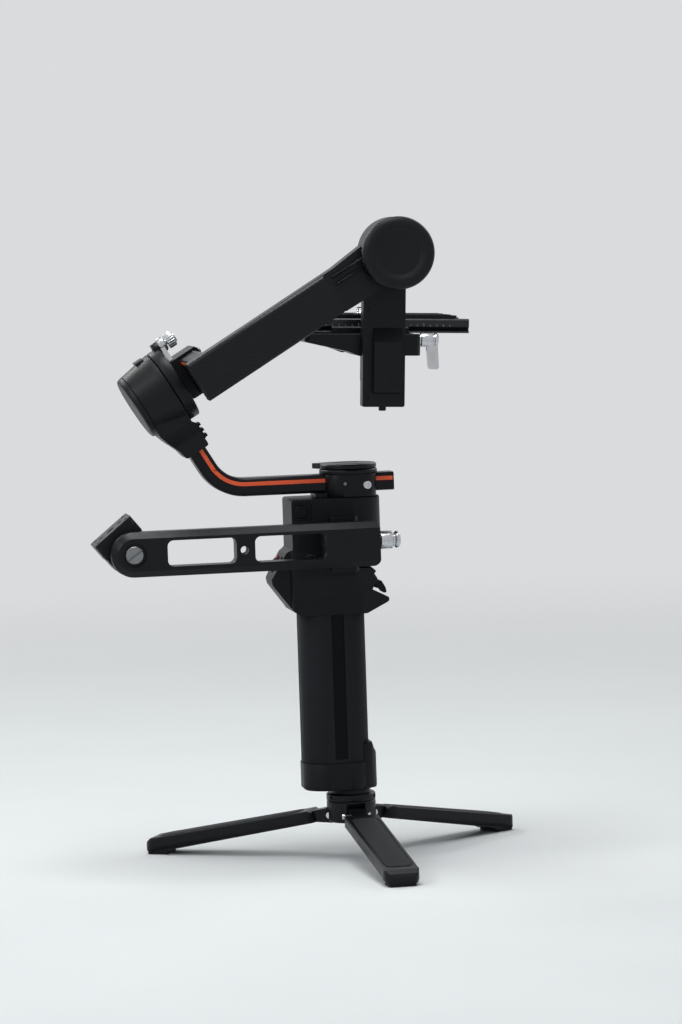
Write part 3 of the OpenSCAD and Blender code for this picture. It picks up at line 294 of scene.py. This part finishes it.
BLACK = (0.0032, 0.0037, 0.0054)
MATERIALS = {
    "black_paint": anodised("black_anodised", BLACK, 0.34, 0.06, 0.2),
    "arm_black": anodised("arm_black", (0.0030, 0.0033, 0.0056), 0.30, 0.06, 0.2),
    "plate_black": anodised("plate_black", (0.0060, 0.0066, 0.0080), 0.28, 0.05, 0.4),
    "dark_plastic": moulded("dark_plastic", (0.0034, 0.0039, 0.0054), 0.42, spec=0.17),
    "motor_black": moulded("motor_black", (0.0034, 0.0040, 0.0052), 0.38, 3400, 0.15, 0.22),
    "strip_black": moulded("strip_black", (0.0020, 0.0022, 0.0032), 0.5, 3000, 0.15, 0.1),
    "red_plastic": moulded("red_plastic", (0.32, 0.015, 0.02), 0.35, 3000, 0.1, 0.5),
    "soft_rubber": rubber("soft_rubber", (0.0058, 0.0066, 0.0088)),
    "leg_rubber": rubber("leg_rubber", (0.0088, 0.0102, 0.0110)),
    "bright_steel": turned("bright_steel", (0.57, 0.58, 0.60), 0.2),
    "grey_steel": turned("grey_steel", (0.24, 0.25, 0.26), 0.34),
    "dark_steel": turned("dark_steel", (0.035, 0.037, 0.042), 0.34, polish=0.06),
    "winding_copper": winding("winding_copper", (0.6, 0.26, 0.1)),
    "accent_paint": moulded("accent_paint", (1.0, 0.125, 0.042), 0.42, 3600, 0.06, 0.4),
    "mark_white": moulded("mark_white", (0.42, 0.43, 0.44), 0.6, 4000, 0.05, 0.3),
    "carbon_weave": weave("carbon_weave", (0.0030, 0.0032, 0.0052), (0.0062, 0.0066, 0.0096)),
    "screen_glass": glass_screen("screen_glass"),
    "cell_wrap": moulded("cell_wrap", (0.03, 0.24, 0.13), 0.3, 900, 0.05, 0.5),
    "board_green": moulded("board_green", (0.008, 0.07, 0.03), 0.4, 700, 0.2, 0.5),
}

slot_of = {p["node"]: p["material_slot"] for p in frame["record"]["subparts"]}

# Nodes that look different from the others in their slot
LOOKS = {
    "pan_arm": "arm_black",
    "roll_cap": "motor_black", "roll_housing": "motor_black",
    "tilt_cap": "motor_black", "tilt_housing": "motor_black",
    "grip_shell": "strip_black",
    "lower_plate": "plate_black",
    "pan_rotor": "dark_steel", "roll_rotor": "dark_steel", "tilt_rotor": "dark_steel",
}

# Nodes inside the others, whose edges need no bevel
UNSEEN = {
    "battery_cells", "main_board", "hub_screw",
    "pan_stator", "roll_stator", "tilt_stator",
    "pan_bearings", "roll_bearings", "tilt_bearings",
}


def dress(o, look):
    o.data.materials.clear()
    o.data.materials.append(MATERIALS[look])


WELD_WITHIN = 0.000002  # metres
BEVEL_WIDTH = 0.00035  # metres
BEVEL_FROM = math.radians(32)


def edge_bevel(o):
    """Softens the sharp edges of a solid, so that they catch the light."""
    w = o.modifiers.new("weld", "WELD")
    w.merge_threshold = WELD_WITHIN
    b = o.modifiers.new("edges", "BEVEL")
    b.width, b.segments, b.limit_method = BEVEL_WIDTH, 2, "ANGLE"
    b.angle_limit = BEVEL_FROM
    b.harden_normals = True
    b.use_clamp_overlap = True


for node, o in cad_objects.items():
    dress(o, LOOKS.get(node, slot_of[node]))
    if node not in UNSEEN:
        edge_bevel(o)

# ---------------------------------------------------------------- mesh pieces

THREAD_PITCH = 1.27  # millimetres, twenty turns to the inch
TICK_STEP = 5.0  # millimetres


def loft(bm, rings):
    """Skins and closes a list of rings, each a list of as many (x, y, z) points in millimetres."""
    rows = [[bm.verts.new(Vector(p) * 0.001) for p in ring] for ring in rings]
    n = len(rows[0])
    for a, b in zip(rows, rows[1:]):
        for i in range(n):
            bm.faces.new((a[i], a[(i + 1) % n], b[(i + 1) % n], b[i]))
    bm.faces.new(rows[0][::-1])
    bm.faces.new(rows[-1])


def circle(r, z, n=40, flats=0):
    """A ring at height z; with flats, a polygon of that many sides, r from its middle to a side."""
    points = []
    for i in range(n):
        a = 2 * math.pi * i / n
        k = 1.0
        if flats:
            half = math.pi / flats
            k = 1 / math.cos((a % (2 * half)) - half)
        points.append((r * k * math.cos(a), r * k * math.sin(a), z))
    return points


CORNER_STEPS = 6


def oblong(w, d, r, z):
    """A rounded rectangle at height z."""
    points = []
    x, y = w / 2 - r, d / 2 - r
    for cx, cy, a0 in ((x, y, 0), (-x, y, 90), (-x, -y, 180), (x, -y, 270)):
        for k in range(CORNER_STEPS + 1):
            a = math.radians(a0 + 90 * k / CORNER_STEPS)
            points.append((cx + r * math.cos(a), cy + r * math.sin(a), z))
    return points


def piece(name, bm, place, look, body, sharp=35):
    """Makes an object of the mesh, in its place, and has it ride on a body."""
    me = bpy.data.meshes.new(name)
    bmesh.ops.recalc_face_normals(bm, faces=bm.faces)
    bm.to_mesh(me)
    bm.free()
    me.transform(place)
    me.shade_smooth()
    me.set_sharp_from_angle(angle=math.radians(sharp))
    o = bpy.data.objects.new(name, me)
    scene.collection.objects.link(o)
    me.materials.append(MATERIALS[look])
    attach(o, body)
    return o


TURNED_SIDES = 48


def turned_piece(name, profile, place, look, body):
    """A turned piece from (radius, height) points in millimetres."""
    bm = bmesh.new()
    loft(bm, [circle(r, z, TURNED_SIDES) for r, z in profile])
    return piece(name, bm, place, look, body)


def socket_head(name, r, h, place, body, look="grey_steel"):
    """A cap screw's head with a hexagonal socket, standing on its place."""
    key = r * 0.5
    bm = bmesh.new()
    outside = [circle(r * 0.96, 0), circle(r, 0.15), circle(r, h - 0.3), circle(r - 0.3, h)]
    socket = [circle(key * 1.3, h), circle(key, h - 0.15, flats=6), circle(key, h * 0.35, flats=6)]
    loft(bm, outside + socket)
    return piece(name, bm, place, look, body, 28)


def slotted_head(name, r, h, slot_w, slot_d, place, body):
    """A broad screw head with a straight slot along local x."""
    steps = 20
    floor_z = h - slot_d

    def half(side, rad, z, edge):
        """The part of a disc beyond the slot's edge, on one side of it."""
        a0 = math.asin(edge / rad)
        angles = [a0 + (math.pi - 2 * a0) * k / steps for k in range(steps + 1)]
        return [(rad * math.cos(a), side * rad * math.sin(a), z) for a in angles]

    bm = bmesh.new()
    loft(bm, [circle(r - 0.2, 0), circle(r, 0.2), circle(r, floor_z - 0.01), circle(r - 0.05, floor_z)])
    for side in (1, -1):
        loft(bm, [half(side, r, floor_z - 0.01, slot_w / 2), half(side, r, h - 0.4, slot_w / 2),
                  half(side, r - 0.4, h, slot_w / 2 + 0.15)])
    return piece(name, bm, place, "grey_steel", body, 28)


def thread(name, r_root, r_crest, length, place, body):
    """A quarter-inch thread's ridge: a triangular section wound along local z."""
    pitch = THREAD_PITCH
    bm = bmesh.new()
    per_turn = 28
    count = int(length / pitch * per_turn)
    rings = []
    for i in range(count + 1):
        a = 2 * math.pi * i / per_turn
        z = pitch * i / per_turn
        ring = [(r_root, z - 0.4 * pitch), (r_crest, z), (r_root, z + 0.4 * pitch)]
        rings.append([(r * math.cos(a), r * math.sin(a), h) for r, h in ring])
    loft(bm, rings)
    return piece(name, bm, place, "bright_steel", body, 30)


def ticks(name, count, short, long, place, body):
    """A row of scale marks along local x, every fifth one long, printed on the face."""
    bm = bmesh.new()
    for i in range(count):
        depth = long if i % 5 == 0 else short
        x = i * TICK_STEP
        loft(bm, [[(x - w, 0, z), (x + w, 0, z), (x + w, depth, z), (x - w, depth, z)]
                  for w, z in ((0.14, -0.05), (0.12, 0.05))])
    return piece(name, bm, place, "mark_white", body)


def ribbed_pad(name, w, d, place, body):
    """A rubber strip with cross ribs, for a camera's base to sit on."""
    bm = bmesh.new()
    loft(bm, [oblong(w, d, 2, 0), oblong(w, d, 2, 0.45), oblong(w - 0.5, d - 0.5, 1.75, 0.6)])
    ribs = int((w - 6) / 2)
    for i in range(ribs):
        x = (i - (ribs - 1) / 2) * 2
        y = d / 2 - 1
        loft(bm, [[(x - k, -y, z), (x + k, -y, z), (x + k, y, z), (x - k, y, z)]
                  for k, z in ((0.6, 0.5), (0.45, 0.85), (0.3, 0.9))])
    return piece(name, bm, place, "soft_rubber", body)


def strip(name, w, d, h, corner, place, look, body):
    """A flat strip with its upper edge eased."""
    bm = bmesh.new()
    loft(bm, [oblong(w, d, corner, 0), oblong(w, d, corner, h - 0.15),
              oblong(w - 0.3, d - 0.3, max(corner - 0.15, 0.05), h)])
    return piece(name, bm, place, look, body)


# Lengths below are in millimetres

# Tripod: a soft panel let into the top of each leg
LEG_TOP = 6.2
PANEL_FROM = 24
PANEL_L, PANEL_W = 117.0, 22.0
PANEL_GAP = 2.2
for name, angle in (("front", -90), ("left", 30), ("right", 150)):
    bm = bmesh.new()
    w, d = PANEL_L - PANEL_GAP, PANEL_W - PANEL_GAP
    loft(bm, [oblong(w, d, 4.9, -0.3), oblong(w, d, 4.9, 0.22), oblong(w - 0.8, d - 0.8, 4.5, 0.42)])
    piece(f"leg_{name}_panel", bm, on_leg(angle + TRIPOD_TURN, PANEL_FROM + PANEL_L / 2, 0, LEG_TOP),
          "leg_rubber", f"leg_{name}_body")

# Body: the port ring on its right face
BODY_FACE = -23.0
PORT_PROFILE = [(5.2, -1.0), (5.2, 0.5), (4.9, 0.8), (4.2, 0.8), (3.9, 0.5), (3.9, -0.3), (3.0, -0.3),
                (2.6, 0.2), (0.4, 0.3)]
turned_piece("port_ring", PORT_PROFILE, at_handle(-28.0, BODY_FACE, 229.0) @ FACE["-y"],
             "motor_black", "handle")

# Pan clamp: a small screw on either side and the bright clamping bolt on its right
CLAMP_SIDE = 18.3
BOLT_SEAT = -17.8
for side, tag, face in ((-1, "right", "-y"), (1, "left", "+y")):
    place = at_handle(0.0, side * CLAMP_SIDE, 285.9) @ FACE[face]
    socket_head(f"pan_clamp_screw_{tag}", 1.5, 1.6, place, "pan_head")
place = at_handle(17.0, BOLT_SEAT, 284.4) @ FACE["-y"]
socket_head("pan_clamp_bolt", 3.1, 2.4, place, "pan_head", "bright_steel")

# Roll clamp: four screws through its front
ROLL_CLAMP_FRONT = -154.7
SCREW_OFF = 12
corners = [(y, t) for y in (-SCREW_OFF, SCREW_OFF) for t in (-SCREW_OFF, SCREW_OFF)]
for i, (y, t) in enumerate(corners):
    place = on_roll(ROLL_CLAMP_FRONT, y, t) @ FACE["+x"]
    socket_head(f"roll_clamp_screw_{i + 1}", 2.2, 1.5, place, "roll_head")

# Roll bar: the orange stripe in its groove, and the scale on top
BAR_REAR = -171.0
BAR_TOP = 14.5
GROOVE_DEPTH = 0.45
strip("bar_stripe", 2.5, 89.0, 0.7, 0.2, on_roll(BAR_REAR + GROOVE_DEPTH, -20.0, 11.2) @ FACE["-x"],
      "accent_paint", "roll_arm")
place = on_roll(-158.5, -62.0, BAR_TOP) @ Matrix.Rotation(math.pi / 2, 4, "Z")
ticks("bar_scale", 17, 1.4, 2.6, place, "roll_arm")

# Tilt column: the scale down its front edge
COLUMN_X = 28.1
COLUMN_HALF = 16.0
place = levelled(COLUMN_X + COLUMN_HALF, -55.0, 352.0) @ FACE["+x"] @ Matrix.Rotation(math.pi, 4, "Z")
ticks("column_scale", 14, 1.4, 2.6, place, "tilt_head")

# Camera plates: pads and the screw's thread on top, marks along the side
PLATE_TOP = 412.2
PAD_OFF = 14.6
SCREW_X = 22.0
COLLAR_PROFILE = [(3.2, -0.2), (5.2, -0.2), (5.2, 0.35), (4.9, 0.6), (3.2, 0.6)]
for tag, y in (("right", -PAD_OFF), ("left", PAD_OFF)):
    ribbed_pad(f"plate_pad_{tag}", 112.0, 8.0, levelled(32.0, y, PLATE_TOP), "upper_plate_body")
thread("camera_screw_thread", 3.12, 3.42, 4.3, levelled(SCREW_X, 0.0, PLATE_TOP + 0.7), "upper_plate_body")
turned_piece("camera_screw_collar", COLLAR_PROFILE, levelled(SCREW_X, 0.0, PLATE_TOP),
             "bright_steel", "upper_plate_body")
ticks("plate_scale", 25, 1.3, 2.4, levelled(-34.0, -24.0, 404.0) @ FACE["-y"], "lower_plate_body")

# Side arm: the slotted bolt that the end block turns on, and the threads in the two sockets
SIDE_FACE = -62.0
END_X, SIDE_Z = -167.3, 243.0
BOLT_TURN, BLOCK_TURN = math.radians(-35), math.radians(-39)
SOCKET_ROOT, SOCKET_CREST = 3.2, 2.9
bolt = at_handle(END_X, SIDE_FACE + 1.8, SIDE_Z) @ Matrix.Rotation(BOLT_TURN, 4, "Y")
slotted_head("pivot_bolt", 6.6, 1.75, 1.3, 0.9, bolt @ FACE["-y"], "end_block_body")
place = at_handle(-84.8, SIDE_FACE + 1.0, SIDE_Z) @ FACE["+y"]
thread("side_arm_thread", SOCKET_ROOT, SOCKET_CREST, 13.0, place, "side_arm_body")
block = at_handle(END_X, 0, SIDE_Z) @ Matrix.Rotation(BLOCK_TURN, 4, "Y")
place = block @ Matrix.Translation(Vector((0, -32.0, 15.0)) * 0.001)
thread("end_block_thread", SOCKET_ROOT, SOCKET_CREST, 6.2, place, "end_block_body")

# ---------------------------------------------------------------- floor, light, camera


def stage_mesh(name, verts, faces):
    """An object of the stage, which is no piece of the part."""
    me = bpy.data.meshes.new(name)
    me.from_pydata(verts, [], faces)
    for p in me.polygons:
        p.use_smooth = True
    o = bpy.data.objects.new(name, me)
    scene.collection.objects.link(o)
    return o


def sweep_floor():
    """A pale floor that curves up into a backdrop behind the object."""
    half, back_y, radius, top, front = 6.0, 2.6, 1.2, 5.0, -6.0
    bends = 12
    profile = [(front, 0.0), (back_y, 0.0)]
    for k in range(1, bends + 1):
        a = math.radians(90 * k / bends)
        profile.append((back_y + radius * math.sin(a), radius * (1 - math.cos(a))))
    profile.append((back_y + radius, top))
    verts = [(x, y, z) for y, z in profile for x in (-half, half)]
    faces = [(2 * i, 2 * i + 1, 2 * i + 3, 2 * i + 2) for i in range(len(profile) - 1)]
    return stage_mesh("floor", verts, faces)


PALE = (0.70, 0.71, 0.72)
FADE_FROM, FADE_TO = 0.7, 2.4  # metres from the object


def seen_rays(tree):
    """1 for rays that show the background: from the camera, or through gloss or glass."""
    path = tree.nodes.new("ShaderNodeLightPath")
    either = path.outputs["Is Camera Ray"]
    for kind in ("Is Glossy Ray", "Is Transmission Ray"):
        larger = tree.nodes.new("ShaderNodeMath")
        larger.operation = "MAXIMUM"
        tree.links.new(either, larger.inputs[0])
        tree.links.new(path.outputs[kind], larger.inputs[1])
        either = larger.outputs[0]
    return either


def floor_material():
    """A matt pale floor that fades, away from the object, into the plain background."""
    g = Graph("pale_floor")
    n = g.noise(3.0, 4, 0.6)
    fine = g.noise(260, 3, 0.6)
    base = g.ramp(n, [(0.3, (0.64, 0.65, 0.66)), (0.7, (0.67, 0.68, 0.69))])
    mat = g.done(Base_Color=base, Roughness=0.85, Normal=g.bump(fine, 0.05, 0.0005), Specular_IOR_Level=0.2)
    place = g.put("ShaderNodeSeparateXYZ", {"Vector": g.coords})
    x, y = place.outputs["X"], place.outputs["Y"]
    distance = g.math("SQRT", g.math("ADD", g.math("MULTIPLY", x, x), g.math("MULTIPLY", y, y)))
    fade = g.put("ShaderNodeMapRange", {"Value": distance, "From Min": FADE_FROM, "From Max": FADE_TO},
                 interpolation_type="SMOOTHSTEP").outputs[0]
    plain = g.put("ShaderNodeEmission", {"Color": (*PALE, 1)})
    mixed = g.tree.nodes.new("ShaderNodeMixShader")
    g.tree.links.new(g.math("MULTIPLY", fade, seen_rays(g.tree)), mixed.inputs[0])
    g.tree.links.new(g.bsdf.outputs[0], mixed.inputs[1])
    g.tree.links.new(plain.outputs[0], mixed.inputs[2])
    g.tree.links.new(mixed.outputs[0], g.out.inputs[0])
    return mat


floor = sweep_floor()
floor.data.materials.append(floor_material())

world = bpy.data.worlds.new("studio")
scene.world = world
world.use_nodes = True
wt = world.node_tree
wt.nodes.clear()
wo = wt.nodes.new("ShaderNodeOutputWorld")
seen = wt.nodes.new("ShaderNodeBackground")
seen.inputs["Color"].default_value = (*PALE, 1)
ambient = wt.nodes.new("ShaderNodeBackground")
ambient.inputs["Color"].default_value = (0.90, 0.94, 1.0, 1)
ambient.inputs["Strength"].default_value = 0.30
pick = wt.nodes.new("ShaderNodeMixShader")
wt.links.new(seen_rays(wt), pick.inputs[0])
wt.links.new(ambient.outputs[0], pick.inputs[1])
wt.links.new(seen.outputs[0], pick.inputs[2])
wt.links.new(pick.outputs[0], wo.inputs[0])


LAMPS_AIM = (0.0, 0.0, 0.28)


def lamp(name, place, size, power, color):
    """A rectangular lamp that looks at the object's middle."""
    d = bpy.data.lights.new(name, "AREA")
    d.shape, d.size, d.size_y = "RECTANGLE", size[0], size[1]
    d.energy, d.color = power, color
    o = bpy.data.objects.new(name, d)
    scene.collection.objects.link(o)
    o.location = place
    o.rotation_mode = "QUATERNION"
    o.rotation_quaternion = (Vector(LAMPS_AIM) - Vector(place)).to_track_quat("-Z", "Y")


lamp("overhead", (-0.2, -0.25, 2.0), (1.1, 0.9), 32, (0.97, 1.0, 0.98))
lamp("left_front", (-2.4, -1.6, 1.9), (1.0, 1.2), 22, (0.97, 0.98, 1.0))
lamp("right_back", (1.8, 1.8, 1.8), (1.2, 1.4), 12, (1.0, 0.98, 0.95))
lamp("left_back", (-1.3, 1.7, 1.7), (1.4, 0.5), 18, (0.95, 1.0, 0.97))

# The camera that the photograph was read through, leaning a little to one side
LENS, SENSOR = 105.47, 24.0  # millimetres
AZ, EL, LEAN = math.radians(-10.0), math.radians(4.5), math.radians(1.9)
CAMERA_AT = STAND + Vector((-0.5924, -3.3571, 0.5315))
back = Vector((math.sin(AZ) * math.cos(EL), -math.cos(AZ) * math.cos(EL), math.sin(EL)))
level = Vector((math.cos(AZ), math.sin(AZ), 0.0))
upright = level.cross(-back)
right = level * math.cos(LEAN) - upright * math.sin(LEAN)
up = upright * math.cos(LEAN) + level * math.sin(LEAN)
cam_data = bpy.data.cameras.new("camera")
cam = bpy.data.objects.new("camera", cam_data)
scene.collection.objects.link(cam)
cam.matrix_world = Matrix((
    (right.x, up.x, back.x, CAMERA_AT[0]),
    (right.y, up.y, back.y, CAMERA_AT[1]),
    (right.z, up.z, back.z, CAMERA_AT[2]),
    (0, 0, 0, 1)))
cam_data.sensor_fit = "VERTICAL"
cam_data.sensor_height = SENSOR
cam_data.lens = LENS
cam_data.clip_start, cam_data.clip_end = 0.05, 60.0
scene.camera = cam
scene.view_settings.view_transform = "Standard"
